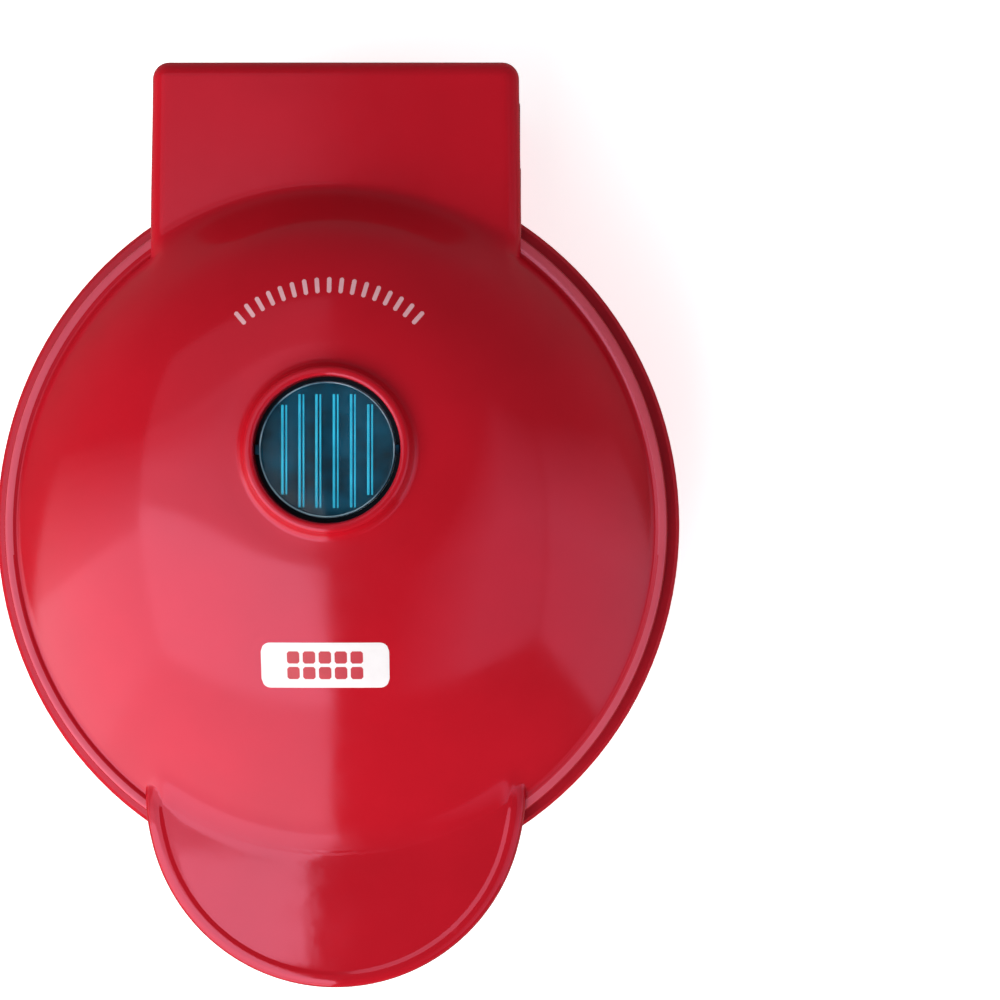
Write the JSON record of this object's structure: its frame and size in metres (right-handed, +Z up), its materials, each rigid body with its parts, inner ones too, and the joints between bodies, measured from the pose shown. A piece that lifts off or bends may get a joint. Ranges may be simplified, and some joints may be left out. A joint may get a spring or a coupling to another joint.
{
  "type": "waffle maker",
  "caption": "Round clamshell waffle maker with a domed gloss lid, heart-shaped grid plates, a front lift handle, a rear hinge hood and a round indicator lens.",
  "frame": {"origin": "on the table under the middle of the body", "axes": "+Z up, -Y towards the lift handle at the front, +Y towards the hinge at the rear, +X to the right"},
  "size_m": [0.127, 0.17, 0.071],
  "materials": {
    "red_plastic": "smooth high-gloss moulded plastic",
    "dark_red_plastic": "fine-textured moulded plastic",
    "black_rubber": "matt rubber",
    "screw_steel": "zinc-plated steel",
    "nonstick": "dark non-stick coating on cast aluminium",
    "heater_steel": "heat-tinted steel sheath",
    "sheet_steel": "sheet steel",
    "reflector_alu": "bright rolled aluminium",
    "thermostat_body": "brown phenolic body with a metal cap",
    "white_ceramic": "glazed ceramic",
    "glass_sleeve": "varnished glass-fibre braid",
    "white_plastic": "heat-resistant white plastic",
    "silicone": "translucent silicone",
    "wire_sheath": "silicone-insulated wire",
    "black_plastic": "black heat-resistant plastic",
    "blue_lens": "translucent deep blue plastic, fluted underneath",
    "lamp_glass": "clear glass bulb",
    "resistor_body": "enamelled ceramic"
  },
  "bodies": {
    "base": {"base_housing": "red_plastic", "bottom_cover": "dark_red_plastic", "rubber_feet": "black_rubber", "cover_screws": "screw_steel", "lower_plate": "nonstick", "lower_heater": "heater_steel", "lower_heater_clamp": "sheet_steel", "lower_reflector": "reflector_alu", "plate_screws": "screw_steel", "thermostat": "thermostat_body", "thermostat_bracket": "sheet_steel", "thermostat_screws": "screw_steel", "thermal_fuse": "white_ceramic", "fuse_sleeve": "glass_sleeve", "crimp_caps": "white_plastic", "lower_terminal_boots": "silicone", "base_wires": "wire_sheath", "cord_gland": "black_rubber", "hinge_harness_sleeve": "glass_sleeve"},
    "lid": {"hinge_pins": "screw_steel", "lid_shell": "red_plastic", "lid_frame": "black_plastic", "frame_screws": "screw_steel", "upper_plate": "nonstick", "upper_heater": "heater_steel", "upper_heater_clamp": "sheet_steel", "upper_reflector": "reflector_alu", "upper_clamp_screw": "screw_steel", "indicator_lens": "blue_lens", "lamp_holder": "white_plastic", "lens_retainer": "black_plastic", "neon_lamp": "lamp_glass", "lamp_resistor": "resistor_body", "upper_terminal_boots": "silicone", "lid_wires": "wire_sheath"}
  },
  "joints": [
    {"name": "lid_hinge", "type": "hinge", "parent": "base", "child": "lid", "pos_m": [0, 0.075, 0.039], "axis": [-1, 0, 0], "range_deg": [0, 100]}
  ]
}
